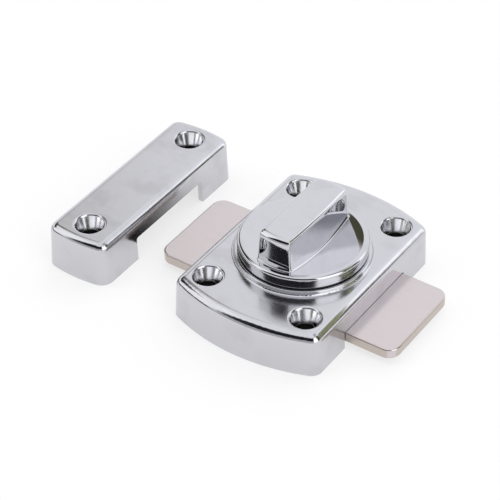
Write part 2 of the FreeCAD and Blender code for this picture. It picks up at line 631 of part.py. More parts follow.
def wave_washer():
    """A bowed spring washer between the pinion and the housing, curved about an axis along Y."""
    inner = SPINDLE_RADIUS + 3 * SPINDLE_RUNNING_GAP
    outer = inner + WAVE_WASHER_WIDTH
    rise = WAVE_WASHER_SPACE - WAVE_WASHER_THICKNESS - 2 * SPINDLE_RUNNING_GAP
    bow_radius = (outer**2 + rise**2) / (2 * rise)
    axis_z = CEILING - SPINDLE_RUNNING_GAP - WAVE_WASHER_THICKNESS - bow_radius
    start = Vector(0, -2 * outer, axis_z)
    outside = Part.makeCylinder(bow_radius + WAVE_WASHER_THICKNESS, 4 * outer, start, Vector(0, 1, 0))
    inside = Part.makeCylinder(bow_radius, 4 * outer, start, Vector(0, 1, 0))
    upper_half = ring(outer, inner, PINION_TOP, CEILING)
    return outside.cut(inside).common(upper_half)


def retaining_washer():
    """The flat washer between the spindle screw's head and the pinion."""
    return ring(
        RETAINING_WASHER_RADIUS, SPINDLE_SCREW_RADIUS + 2 * THREAD_CLEARANCE, CHANNEL_TOP, PINION_BOTTOM
    )


def spindle_screw():
    """The long screw that clamps the pinion, the spindle and the knob together from below."""
    return pan_head_screw(
        SPINDLE_SCREW_RADIUS,
        SPINDLE_SCREW_TOP - CHANNEL_TOP,
        SPINDLE_SCREW_HEAD_RADIUS,
        SPINDLE_SCREW_HEAD_HEIGHT,
        CHANNEL_TOP,
    )


# ---------------------------------------------------------------- detent
def detent_ball():
    """The steel ball, drawn at the height of its groove in the bolt."""
    return Part.makeSphere(DETENT_BALL_RADIUS, Vector(0, DETENT_Y, BALL_Z))


def detent_spring():
    """The coil spring that pushes the ball down, a round wire carried along a helix."""
    wire_radius = DETENT_SPRING_WIRE / 2
    coil_radius = DETENT_BALL_RADIUS - DETENT_CLEARANCE - wire_radius
    contact = DETENT_BALL_RADIUS + wire_radius + DETENT_CLEARANCE
    low = BALL_Z + math.sqrt(contact**2 - coil_radius**2)
    height = POCKET_TOP - DETENT_CLEARANCE - wire_radius - low
    helix = Part.makeHelix(height / DETENT_SPRING_TURNS, height, coil_radius)
    start = Vector(coil_radius, 0, 0)
    section = Part.Wire(Part.makeCircle(wire_radius, start, Vector(0, 1, 0)))
    spring = Part.Wire(helix.Edges).makePipeShell([section], True, True)
    spring.translate(Vector(0, DETENT_Y, low))
    return spring


NODES = {
    "housing": housing,
    "keeper": keeper,
    "back_plate": back_plate,
    "back_plate_screws": back_plate_screws,
    "bolt_plate": bolt_plate,
    "rack": rack,
    "rack_rivets": rack_rivets,
    "knob": knob,
    "knob_washer": knob_washer,
    "spindle": spindle,
    "spindle_bush": spindle_bush,
    "pinion": pinion,
    "wave_washer": wave_washer,
    "retaining_washer": retaining_washer,
    "spindle_screw": spindle_screw,
    "detent_ball": detent_ball,
    "detent_spring": detent_spring,
}

os.makedirs("parts", exist_ok=True)
for name, build in NODES.items():
    export(build(), name)
print("pitch radius %.6f mm, bolt travel %.6f mm each way" % (PITCH_RADIUS, BOLT_TRAVEL))
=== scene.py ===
"""Looks of a door bolt latch: a chrome housing with a turn knob, a flat bolt and a keeper.

Every part of the latch keeps the frame of its design: metres, +Z up out of the door, the
origin under the knob's axis, X along the bolt and Y along the housing. The knob is made here
as one smooth surface. The other parts are the CAD's own, and only get their finishes here.
"""

import json
import logging
import math
from dataclasses import dataclass
from enum import Enum
from typing import Protocol

import bpy
import numpy as np
from mathutils import Matrix, Vector


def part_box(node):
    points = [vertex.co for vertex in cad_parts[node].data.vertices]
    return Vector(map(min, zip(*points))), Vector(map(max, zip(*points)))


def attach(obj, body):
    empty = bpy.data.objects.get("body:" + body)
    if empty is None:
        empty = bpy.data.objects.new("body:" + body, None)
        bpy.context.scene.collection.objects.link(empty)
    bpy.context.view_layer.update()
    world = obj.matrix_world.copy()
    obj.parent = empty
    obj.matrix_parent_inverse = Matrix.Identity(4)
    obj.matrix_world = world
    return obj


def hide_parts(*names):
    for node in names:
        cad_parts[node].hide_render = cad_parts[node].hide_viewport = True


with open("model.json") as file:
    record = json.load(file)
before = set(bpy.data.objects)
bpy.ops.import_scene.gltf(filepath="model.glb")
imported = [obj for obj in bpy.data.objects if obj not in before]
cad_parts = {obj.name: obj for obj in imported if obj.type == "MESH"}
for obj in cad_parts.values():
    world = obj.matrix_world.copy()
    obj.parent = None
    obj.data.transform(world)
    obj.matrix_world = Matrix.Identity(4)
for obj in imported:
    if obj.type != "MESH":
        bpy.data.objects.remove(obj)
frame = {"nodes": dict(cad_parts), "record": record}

log = logging.getLogger("latch")
MM = 0.001

Rgb = tuple[float, float, float]
Triple = tuple[float, float, float]
Span = tuple[float, float]
Value = float | tuple[float, ...] | bpy.types.NodeSocket


# ------------------------------------------------------------------ node helpers
class Graph:
    """A short way to write a shader's node tree."""

    def __init__(self, tree: bpy.types.NodeTree) -> None:
        """Empties the tree and keeps it."""
        self.tree = tree
        tree.nodes.clear()

    def add(
        self, kind: str, inputs: dict[str | int, Value] | None = None, **settings: object
    ) -> bpy.types.Node:
        """Adds a node.

        Args:
            kind: the node's type name.
            inputs: socket name or number to a value or to another node's output.
            settings: the node's own properties.

        Returns:
            The new node.
        """
        node = self.tree.nodes.new(kind)
        for name, value in settings.items():
            setattr(node, name, value)
        for name, value in (inputs or {}).items():
            if isinstance(value, bpy.types.NodeSocket):
                self.tree.links.new(value, node.inputs[name])
            else:
                node.inputs[name].default_value = value
        return node

    def math(self, operation: str, *values: Value) -> bpy.types.NodeSocket:
        """Works out one operation on one, two or three numbers."""
        return self.add("ShaderNodeMath", dict(enumerate(values)), operation=operation).outputs[0]

    def step(self, value: Value, low: float, high: float) -> bpy.types.NodeSocket:
        """A smooth step from 0 at the first limit to 1 at the second.

        Args:
            value: the number to look at.
            low: where the step is 0.
            high: where it is 1, which may be the lower number of the two.

        Returns:
            A number from 0 to 1.
        """
        falls = low > high
        ends = {0: value, 1: min(low, high), 2: max(low, high), 3: float(falls), 4: float(not falls)}
        return self.add("ShaderNodeMapRange", ends, interpolation_type="SMOOTHSTEP").outputs[0]

    def mix(self, share: Value, first: Value, second: Value) -> bpy.types.NodeSocket:
        """Mixes two colours."""
        sockets = {0: share, 6: first, 7: second}
        return self.add("ShaderNodeMix", sockets, data_type="RGBA").outputs[2]

    def lerp(self, share: Value, first: Value, second: Value) -> bpy.types.NodeSocket:
        """Mixes two numbers."""
        return self.add("ShaderNodeMix", {0: share, 2: first, 3: second}).outputs[0]

    def place(self) -> bpy.types.NodeSocket:
        """The point on the piece, in metres."""
        return self.add("ShaderNodeTexCoord").outputs["Object"]

    def split(self, vector: Value) -> tuple[bpy.types.NodeSocket, ...]:
        """The three numbers of a vector."""
        return tuple(self.add("ShaderNodeSeparateXYZ", {0: vector}).outputs)

    def noise(self, grain: Triple, detail: float = 2.0, turn: float = 0.0) -> bpy.types.NodeSocket:
        """A cloudy pattern.

        Args:
            grain: the size of its clouds along X, Y and Z, in metres.
            detail: how many finer layers it has.
            turn: how far the pattern is turned about Z, in degrees.

        Returns:
            A number from 0 to 1, mostly near a half.
        """
        scale = tuple(1 / size for size in grain)
        sockets = {"Vector": self.place(), "Rotation": (0, 0, math.radians(turn)), "Scale": scale}
        spread = self.add("ShaderNodeMapping", sockets, vector_type="POINT").outputs[0]
        cloud = {"Vector": spread, "Scale": 1.0, "Detail": detail}
        return self.add("ShaderNodeTexNoise", cloud).outputs["Fac"]

    def bump(self, height: Value, depth: float, under: Value | None = None) -> bpy.types.NodeSocket:
        """A normal bent by a pattern.

        Args:
            height: the pattern, a number from 0 to 1.
            depth: how far it stands out where it is 1, in metres.
            under: another bent normal that it starts from.

        Returns:
            The bent normal.
        """
        sockets = {"Height": height, "Distance": depth, "Strength": 1.0}
        if under is not None:
            sockets["Normal"] = under
        return self.add("ShaderNodeBump", sockets).outputs[0]


def rgba(colour: Rgb, share: float = 1.0) -> tuple[float, ...]:
    """An opaque colour, darkened to some share of itself."""
    return (*(share * part for part in colour), 1.0)


def metal(graph: Graph, colour: Value, roughness: Value, normal: Value) -> None:
    """Ends a graph in a metal surface.

    Args:
        graph: the graph to end.
        colour: the metal's colour.
        roughness: how rough its mirror is, from 0 to 1.
        normal: its bent normal.
    """
    looks = {"Base Color": colour, "Roughness": roughness, "Normal": normal, "Metallic": 1.0}
    shader = graph.add("ShaderNodeBsdfPrincipled", looks)
    graph.add("ShaderNodeOutputMaterial", {"Surface": shader.outputs[0]})


def new_material(name: str) -> tuple[bpy.types.Material, Graph]:
    """A material with an empty graph.

    Args:
        name: the material's name.

    Returns:
        The material and the graph to fill.
    """
    made = bpy.data.materials.new(name)
    made.use_nodes = True
    return made, Graph(made.node_tree)


# ------------------------------------------------------------------ finishes
class Finish(Protocol):
    """What every finish can do."""

    def material(self) -> bpy.types.Material:
        """Makes the finish's material."""


@dataclass(frozen=True)
class Bores:
    """Where a casting's screw holes are, in metres, for a finish and a painted light and shade that
    change inside them.

    A pair of limits is where a change begins and where it is complete.
    """

    centre_x: float
    reach_x: float
    reach_y: float
    hole: float
    top: float
    face_under: Span = (0.12 * MM, 0.02 * MM)
    face_over: Span = (0.10 * MM, 0.02 * MM)
    lip: Span = (4.7 * MM, 4.56 * MM)
    lip_under: Span = (0.2 * MM, 0.7 * MM)
    bore_shares: Span = (1.14, 1.10)
    # plated: the depths under the top where the painted shade down a bore begins and where it is full.
    plated: Span = (3.7 * MM, 4.6 * MM)

    def masks(self, g: Graph) -> tuple[bpy.types.NodeSocket, ...]:
        """Three places on the casting that are finished differently or painted with light or shade.

        Args:
            g: the graph to add to.

        Returns:
            Three numbers from 0 to 1: on the flat top, a narrow band of heights; in a countersink,
            nearer to a hole's axis than its lip and under the top; and down in a bore, where
            shade is painted, nearer than the hole's radius and deeper than the limits in plated.
        """
        x, y, z = g.split(g.place())
        depth = g.math("SUBTRACT", self.top, z)
        height = g.math("SUBTRACT", z, self.top)
        from_x = g.math("ABSOLUTE", g.math("SUBTRACT", x, self.centre_x))
        from_x = g.math("SUBTRACT", from_x, self.reach_x)
        from_y = g.math("SUBTRACT", g.math("ABSOLUTE", y), self.reach_y)
        squares = g.math("ADD", g.math("MULTIPLY", from_x, from_x), g.math("MULTIPLY", from_y, from_y))
        away = g.math("SQRT", squares)
        flat = g.math("MULTIPLY", g.step(depth, *self.face_under), g.step(height, *self.face_over))
        turned = g.math("MULTIPLY", g.step(away, *self.lip), g.step(depth, *self.lip_under))
        bore = g.step(away, *(share * self.hole for share in self.bore_shares))
        return flat, turned, g.math("MULTIPLY", bore, g.step(depth, *self.plated))


@dataclass(frozen=True)
class Chrome:
    """Bright chrome on a polished casting: a mirror with a faint orange peel and hairline scratches.

    A casting's flat top is a little hazier. Its countersinks are turned, and their colour is a
    painted highlight, lighter for the light they catch; its bores have painted shade below a set
    depth, dark for the shade that falls there. Each haze is how much a mark adds to the roughness.
    """

    name: str
    colour: Rgb = (0.60, 0.60, 0.625)
    # Painted highlight: the countersinks' colour, lighter for the light they catch.
    countersink_highlight: Rgb = (0.88, 0.88, 0.90)
    # Painted shade: the colour down in a bore, dark for the shade that falls there.
    painted_bore_shade: Rgb = (0.035, 0.033, 0.032)
    roughness: float = 0.03
    bore_shade_roughness: float = 0.55
    flat_haze: float = 0.06
    turned_haze: float = 0.04
    smudge: Triple = (9 * MM, 7 * MM, 9 * MM)
    smudge_levels: Span = (0.46, 0.72)
    smudge_shade: float = 0.93
    smudge_haze: float = 0.05
    peel: float = 2.2 * MM
    peel_depth: float = 0.008 * MM
    scratch: float = 0.10 * MM
    scratch_length: float = 9 * MM
    scratch_turns: Triple = (12.0, 68.0, 131.0)
    scratch_levels: Span = (0.70, 0.78)
    scratch_haze: float = 0.12
    scratch_depth: float = 0.0004 * MM
    bores: Bores | None = None

    def scratches(self, g: Graph) -> bpy.types.NodeSocket:
        """Hairlines in three directions: the thin bright ridges of long stretched clouds.

        Args:
            g: the graph to add to.

        Returns:
            1 on a hairline and 0 beside it.
        """
        lines = []
        for turn in self.scratch_turns:
            grain = (self.scratch_length, self.scratch, self.scratch)
            cloud = g.noise(grain, detail=1.0, turn=turn)
            lines.append(g.step(cloud, *self.scratch_levels))
        return g.math("MAXIMUM", g.math("MAXIMUM", lines[0], lines[1]), lines[2])

    def material(self) -> bpy.types.Material:
        """Makes the material: smudges and hairlines roughen the mirror, and its peel bends it.

        Returns:
            The new material.
        """
        made, g = new_material(self.name)
        lines = self.scratches(g)
        smudge = g.step(g.noise(self.smudge, detail=3.0), *self.smudge_levels)
        rough = g.math("MULTIPLY_ADD", smudge, self.smudge_haze, self.roughness)
        rough = g.math("MULTIPLY_ADD", lines, self.scratch_haze, rough)
        colour = g.mix(smudge, rgba(self.colour), rgba(self.colour, self.smudge_shade))
        if self.bores:
            flat, turned, shade_in_bore = self.bores.masks(g)
            # Painted highlight: the countersinks' colour is lighter, for the light they catch; their haze
            # below is the turned finish.
            colour = g.mix(turned, colour, rgba(self.countersink_highlight))
            # Painted shade: down a bore the colour goes dark and the mirror rough, for the shade that
            # falls there.
            colour = g.mix(shade_in_bore, colour, rgba(self.painted_bore_shade))
            rough = g.math("MULTIPLY_ADD", flat, self.flat_haze, rough)
            rough = g.math("MULTIPLY_ADD", turned, self.turned_haze, rough)
            rough = g.lerp(shade_in_bore, rough, self.bore_shade_roughness)
        peel = g.bump(g.noise((self.peel,) * 3, detail=1.0), self.peel_depth)
        metal(g, colour, rough, g.bump(lines, -self.scratch_depth, peel))
        return made


@dataclass(frozen=True)
class SatinPlate:
    """Satin nickel on a flat bar: a fine grain along X, and edges gone darker and warmer with wear."""

    name: str
    half_size: Span
    colour: Rgb = (0.665, 0.61, 0.605)
    worn_colour: Rgb = (0.55, 0.49, 0.45)
    roughness: float = 0.15
    grain: Triple = (8 * MM, 0.05 * MM, 0.05 * MM)
    grain_levels: Span = (0.3, 0.7)
    grain_shade: float = 0.93
    grain_haze: float = 0.10
    grain_depth: float = 0.0010 * MM
    fine: float = 0.12 * MM
    fine_depth: float = 0.0015 * MM
    edge: float = 0.35 * MM
    edge_haze: float = 0.12
    cloud: float = 2.5 * MM
    stain_levels: Span = (0.6, 0.85)
    stain_share: float = 0.12

    def material(self) -> bpy.types.Material:
        """Makes the material: the wear follows the distance to the bar's outline, broken by clouds.

        Returns:
            The new material.
        """
        made, g = new_material(self.name)
        x, y, _ = g.split(g.place())
        to_end = g.math("SUBTRACT", self.half_size[0], g.math("ABSOLUTE", x))
        to_side = g.math("SUBTRACT", self.half_size[1], g.math("ABSOLUTE", y))
        nearest = g.math("MINIMUM", to_end, to_side)
        clouds = g.noise((self.cloud,) * 3, detail=4.0)
        edge = g.step(g.math("MULTIPLY_ADD", clouds, -self.edge, nearest), self.edge, 0.0)
        grain = g.noise(self.grain, detail=3.0)
        fine = g.noise((self.fine,) * 3, detail=2.0)
        streak = g.step(grain, *self.grain_levels)
        pale = g.mix(streak, rgba(self.colour), rgba(self.colour, self.grain_shade))
        stained = g.math("MULTIPLY", g.step(clouds, *self.stain_levels), self.stain_share)
        colour = g.mix(g.math("MAXIMUM", edge, stained), pale, rgba(self.worn_colour))
        rough = g.math("MULTIPLY_ADD", grain, self.grain_haze, self.roughness)
        rough = g.math("MULTIPLY_ADD", edge, self.edge_haze, rough)
        metal(g, colour, rough, g.bump(grain, self.grain_depth, g.bump(fine, self.fine_depth)))
        return made


@dataclass(frozen=True)
class Steel:
    """Plain or plated metal: a cloudy tint over a fine bright grain, with stains in patches."""

    name: str
    colour: Rgb
    stain: Rgb
    roughness: float
    grain: Triple = (0.08 * MM, 0.08 * MM, 0.08 * MM)
    grain_haze: float = 0.16
    grain_depth: float = 0.002 * MM
    cloud: float = 3.0 * MM
    cloud_levels: Span = (0.42, 0.68)
    cloud_haze: float = 0.08

    def material(self) -> bpy.types.Material:
        """Makes the material: clouds pick the stained patches, and the grain roughens and bends it.

        Returns:
            The new material.
        """
        made, g = new_material(self.name)
        clouds = g.step(g.noise((self.cloud,) * 3, detail=4.0), *self.cloud_levels)
        grain = g.noise(self.grain, detail=3.0)
        colour = g.mix(clouds, rgba(self.colour), rgba(self.stain))
        rough = g.math("MULTIPLY_ADD", grain, self.grain_haze, self.roughness)
        rough = g.math("MULTIPLY_ADD", clouds, self.cloud_haze, rough)
        metal(g, colour, rough, g.bump(grain, self.grain_depth))
        return made


@dataclass(frozen=True)
class Nylon:
    """Moulded nylon: slightly waxy, with a faint flow pattern and a finely etched face."""

    name: str
    colour: Rgb = (0.055, 0.055, 0.058)
    pale: Rgb = (0.085, 0.085, 0.088)
    roughness: float = 0.38
    refraction: float = 1.53
    flow: Triple = (6 * MM, 6 * MM, 1 * MM)
    flow_levels: Span = (0.35, 0.7)
    etch: float = 0.06 * MM
    etch_haze: float = 0.2
    etch_depth: float = 0.004 * MM

    def material(self) -> bpy.types.Material:
        """Makes the material: the flow tints it, and the etching roughens and bends it.

        Returns:
            The new material.
        """
        made, g = new_material(self.name)
        flow = g.step(g.noise(self.flow, detail=2.0), *self.flow_levels)
        etch = g.noise((self.etch,) * 3, detail=2.0)
        looks = {
            "Base Color": g.mix(flow, rgba(self.colour), rgba(self.pale)),
            "Roughness": g.math("MULTIPLY_ADD", etch, self.etch_haze, self.roughness),
            "Normal": g.bump(etch, self.etch_depth),
            "IOR": self.refraction,
        }
        shader = g.add("ShaderNodeBsdfPrincipled", looks)
        g.add("ShaderNodeOutputMaterial", {"Surface": shader.outputs[0]})
        return made


# ------------------------------------------------------------------ surfaces
class Slot(Enum):
    """The material slots that the record names."""

    CHROME = "bright_chrome"
    SATIN = "satin_nickel"
    ZINC = "zinc_plate"
    BARE = "bare_steel"
    SPRING = "spring_steel"
    BRASS = "bush_brass"
    NYLON = "nylon"


def closed_rings(rings: np.ndarray) -> tuple[np.ndarray, np.ndarray, np.ndarray]:
    """The points and faces of rings that follow one another, closed by a pole at both ends.

    Args:
        rings: ring by point by (x, y, z), every ring running anticlockwise seen from above, from
            the inside of the piece's underside round to the middle of its top.

    Returns:
        Every point, the four-sided faces between the rings, and the triangles at the poles. A
        face joins point j and j + 1 of one ring to the same points of the next.
    """
    count, around, _ = rings.shape
    points = rings.reshape(-1, 3)
    poles = np.stack([rings[0].mean(0), rings[-1].mean(0)])
    ring, spot = np.meshgrid(np.arange(count - 1), np.arange(around), indexing="ij")
    after = (spot + 1) % around
    low, high = ring * around, (ring + 1) * around
    quads = np.stack([low + spot, low + after, high + after, high + spot], -1).reshape(-1, 4)
    j = np.arange(around)
    k = (j + 1) % around
    last = (count - 1) * around
    first_pole = np.stack([k, j, np.full(around, len(points))], -1)
    last_pole = np.stack([last + j, last + k, np.full(around, len(points) + 1)], -1)
    return np.vstack([points, poles]), quads, np.vstack([first_pole, last_pole])


def new_piece(name: str, rings: np.ndarray) -> bpy.types.Object:
    """A smooth closed piece made of rings.

    Args:
        name: the piece's name.
        rings: ring by point by (x, y, z), in metres, as for closed_rings.

    Returns:
        The new object, in the scene.
    """
    points, quads, triangles = closed_rings(rings)
    mesh = bpy.data.meshes.new(name)
    mesh.from_pydata(points, [], quads.tolist() + triangles.tolist())
    mesh.polygons.foreach_set("use_smooth", np.ones(len(mesh.polygons), bool))
    mesh.update()
    piece = bpy.data.objects.new(name, mesh)
    bpy.context.scene.collection.objects.link(piece)
    return piece


@dataclass
class Knob:
    """The cast knob: a dished disc with a straight grip across it, sizes in millimetres.

    The fields that end in steps say how many rings or points a stretch of the surface has. The
    shares and the crease place the rings that stand close to a sharp corner and keep it sharp.
    """

    disc_radius: float = 17.8
    disc_thickness: float = 3.3
    rim_edge: float = 0.9
    foot_edge: float = 0.25
    dish_radius: float = 16.2
    dish_depth: float = 2.0
    dish_lip: float = 0.35
    grip_half_width: float = 4.5
    grip_half_length: float = 14.2
    side_bulge: float = 0.45
    end_bulge: float = 0.6
    side_draft_deg: float = 3.5
    end_draft_deg: float = 0.8
    corner: float = 0.8
    side_edge: float = 0.8
    end_edge: float = 1.6
    side_root: float = 0.55
    end_root: float = 0.3
    crown: float = 0.06
    socket_half: float = 2.69
    socket_depth: float = 6.0
    socket_edge: float = 0.25
    bore: float = 1.56
    bore_depth: float = 10.0
    bore_start_share: float = 0.4
    bore_rim_share: float = 1.02
    socket_rim_share: float = 0.985
    foot_margin: float = 0.375
    crease: float = 0.05

    side_steps: int = 96
    corner_steps: int = 12
    end_steps: int = 36
    edge_steps: int = 10
    wall_steps: int = 9
    crown_steps: int = 8
    dish_steps: int = 22
    foot_steps: int = 6
    rim_steps: int = 5
    corner_rounds: int = 12

    def __post_init__(self) -> None:
        """Takes the heights from the CAD node that the knob stands for."""
        low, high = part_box("knob")
        self.bottom = low.z / MM
        self.top = high.z / MM
        self.disc_top = self.bottom + self.disc_thickness
        self.dish_sphere = (self.dish_radius**2 + self.dish_depth**2) / (2 * self.dish_depth)

    def dish_height(self, across: np.ndarray) -> np.ndarray:
        """The dish's height at a distance from the axis: a sphere that is lowest at the axis."""
        centre = self.disc_top - self.dish_depth + self.dish_sphere
        return centre - np.sqrt(self.dish_sphere**2 - np.minimum(across, self.dish_radius) ** 2)

    def quarter(self, half_x: float, half_y: float) -> tuple[np.ndarray, np.ndarray]:
        """A quarter of the grip's section, from the middle of a side to the middle of an end.

        Two shallow arcs, each as high as its bulge over its chord, meet in a round corner. The
        corner's centre is where the two arcs cross when both are moved inwards by its radius,
        found by going back and forth between them.

        Args:
            half_x: half the width at the corners.
            half_y: half the length at the corners.

        Returns:
            The points (x, y), and how far round the corner each is, from 0 on the side to 1 on
            the end.
        """
        side_radius = (half_y**2 + self.side_bulge**2) / (2 * self.side_bulge)
        end_radius = (half_x**2 + self.end_bulge**2) / (2 * self.end_bulge)
        side_x = half_x + self.side_bulge - side_radius
        end_y = half_y + self.end_bulge - end_radius
        x, y = half_x - self.corner, half_y - self.corner
        for _ in range(self.corner_rounds):
            x = side_x + math.sqrt((side_radius - self.corner) ** 2 - y**2)
            y = end_y + math.sqrt((end_radius - self.corner) ** 2 - x**2)
        side_turn = math.atan2(y, x - side_x)
        end_turn = math.atan2(y - end_y, x)
        slope = math.atan2(y, x)
        along = np.tan(np.linspace(0.0, slope, self.side_steps // 2, endpoint=False)) * x
        side = np.stack([side_x + np.sqrt(side_radius**2 - along**2), along], -1)
        turn = np.linspace(side_turn, end_turn, self.corner_steps)
        corner = np.array([x, y]) + self.corner * np.stack([np.cos(turn), np.sin(turn)], -1)
        across = x * np.linspace(1.0, 0.0, self.end_steps // 2 + 1)[1:]
        end = np.stack([across, end_y + np.sqrt(end_radius**2 - across**2)], -1)
        share = (turn - side_turn) / (end_turn - side_turn)
        shares = np.concatenate([np.zeros(len(side)), share, np.ones(len(end))])
        return np.vstack([side, corner, end]), shares

    def section(self, half_x: float, half_y: float) -> tuple[np.ndarray, np.ndarray]:
        """The grip's whole section: the quarter mirrored in both axes, anticlockwise.

        Args:
            half_x: half the width at the corners.
            half_y: half the length at the corners.

        Returns:
            The points and their shares, as for quarter.
        """
        points, share = self.quarter(half_x, half_y)
        flipped, flipped_share = points[-2::-1] * (-1, 1), share[-2::-1]
        half = np.vstack([points, flipped])[:-1]
        half_share = np.concatenate([share, flipped_share])[:-1]
        return np.vstack([half, -half]), np.concatenate([half_share, half_share])

    def grown(self, by_x: float, by_y: float) -> np.ndarray:
        """The points of the grip's section, wider and longer by some amount on every side."""
        return self.section(self.grip_half_width + by_x, self.grip_half_length + by_y)[0]

    def grip_rings(self) -> list[np.ndarray]:
        """The grip from its root up: a fillet out of the dish, a leaning wall, and a rounded top.

        The fillet at angle a stands out by root (1 - sin a) and up by root (1 - cos a). The top
        edge at angle a comes in by edge (1 - cos a) and stands below the top by edge (1 - sin a).
        Both radii go smoothly from the sides' to the ends' round each corner.

        Returns:
            Rings of points from the foot of the fillet to the middle of the top.
        """
        lean = math.tan(math.radians(self.side_draft_deg))
        end_lean = math.tan(math.radians(self.end_draft_deg))
        _, share = self.section(self.grip_half_width, self.grip_half_length)
        share = share * share * (3 - 2 * share)
        root = self.side_root + (self.end_root - self.side_root) * share
        edge = self.side_edge + (self.end_edge - self.side_edge) * share
        rings = []
        depth = self.top - self.disc_top + self.dish_depth
        for a in np.linspace(0.0, math.pi / 2, self.edge_steps):
            out = 1 - math.sin(a)
            by_x = depth * lean + self.side_root * out
            by_y = depth * end_lean + self.end_root * out
            outline = self.grown(by_x, by_y)
            floor = self.dish_height(np.hypot(*outline.T))
            rings.append(np.column_stack([outline, floor + root * (1 - math.cos(a))]))
        foot = rings[-1][:, 2]
        for t in np.linspace(0.0, 1.0, self.wall_steps)[1:]:
            z = foot + (self.top - edge - foot) * t
            left = self.top - float(z.mean())
            rings.append(np.column_stack([self.grown(left * lean, left * end_lean), z]))
        for a in np.linspace(0.0, math.pi / 2, self.edge_steps)[1:]:
            down, back = 1 - math.sin(a), 1 - math.cos(a)
            by_x = self.side_edge * (down * lean - back)
            by_y = self.end_edge * (down * end_lean - back)
            rings.append(np.column_stack([self.grown(by_x, by_y), self.top - edge * down]))
        rim = rings[-1]
        for t in np.linspace(1.0, 0.0, self.crown_steps, endpoint=False)[1:]:
            height = np.full(len(rim), self.top + self.crown * (1 - t * t))
            rings.append(np.column_stack([rim[:, :2] * t, height]))
        return rings

    def disc_rings(self, angle: np.ndarray) -> list[np.ndarray]:
        """The disc from its bore, under and round its rim, to the lip of its dish.

        Args:
            angle: the direction of each of a ring's points from the axis.

        Returns:
            Rings of points: a round bore, a square socket, the flat underside, the rounded rim
            and the dish's lip, all with their points in the same directions.
        """
        way = np.stack([np.cos(angle), np.sin(angle)], -1)
        square = self.socket_half / np.abs(way).max(-1)
        socket_top = self.bottom + self.socket_depth
        bore_top = self.bottom + self.bore_depth
        rings = []

        def add(across: np.ndarray | float, z: float) -> None:
            """Adds a ring at a distance from the axis and a height."""
            flat = way * np.broadcast_to(across, angle.shape)[:, None]
            rings.append(np.column_stack([flat, np.broadcast_to(z, angle.shape)]))

        def add_edge(across: float, z: float, radius: float, start: float, end: float) -> None:
            """Adds a round edge's rings about a centre, between two angles above level, in degrees."""
            for a in np.radians(np.linspace(start, end, self.edge_steps)):
                add(across + radius * math.cos(a), z + radius * math.sin(a))

        add(self.bore_start_share * self.bore, bore_top)
        add(self.bore, bore_top)
        add(self.bore, socket_top + self.crease)
        add(self.bore, socket_top)
        add(self.bore_rim_share * self.bore, socket_top)
        add(self.socket_rim_share * square, socket_top)
        add(square, socket_top)
        add(square, socket_top - self.crease)
        add(square, self.bottom + self.socket_edge)
        add(square + self.socket_edge, self.bottom)
        inner, outer = square.max() + 2 * self.socket_edge, self.disc_radius - self.foot_margin
        for across in np.linspace(inner, outer, self.foot_steps):
            add(across, self.bottom)
        foot = self.disc_radius - self.foot_edge
        add_edge(foot, self.bottom + self.foot_edge, self.foot_edge, -90.0, 0.0)
        wall_top = self.disc_top - self.rim_edge
        for z in np.linspace(self.bottom + self.foot_edge, wall_top, self.rim_steps)[1:-1]:
            add(self.disc_radius, z)
        add_edge(self.disc_radius - self.rim_edge, wall_top, self.rim_edge, 0.0, 90.0)
        steepest = math.degrees(math.asin(self.dish_radius / self.dish_sphere))
        lip = self.dish_radius + self.dish_lip * math.tan(math.radians(steepest / 2))
        add_edge(lip, self.disc_top - self.dish_lip, self.dish_lip, 90.0, 90.0 + steepest)
        return rings

    def dish_rings(self, lip: np.ndarray, foot: np.ndarray) -> list[np.ndarray]:
        """The dish between its lip and the grip's root, on straight lines between their points.

        Args:
            lip: the last ring of the dish's lip.
            foot: the first ring of the grip's root.

        Returns:
            The rings between them, each at the dish's height.
        """
        rings = []
        for t in np.linspace(0.0, 1.0, self.dish_steps)[1:-1]:
            flat = lip[:, :2] * (1 - t) + foot[:, :2] * t
            rings.append(np.column_stack([flat, self.dish_height(np.hypot(*flat.T))]))
        return rings

    def build(self) -> bpy.types.Object:
        """Makes the knob in the CAD knob's place, turning with it.

        Returns:
            The new piece.
        """
        grip = self.grip_rings()
        disc = self.disc_rings(np.arctan2(grip[0][:, 1], grip[0][:, 0]))
        rings = disc + self.dish_rings(disc[-1], grip[0]) + grip
        piece = new_piece("turn_knob", np.array(rings) * MM)
        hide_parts("knob")
        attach(piece, "turning_parts")
        return piece

    def dress(self, piece: bpy.types.Object) -> None:
        """Gives the knob its mirror, brighter and smoother than the housing's."""
        piece.data.materials.append(Chrome("knob_chrome").material())


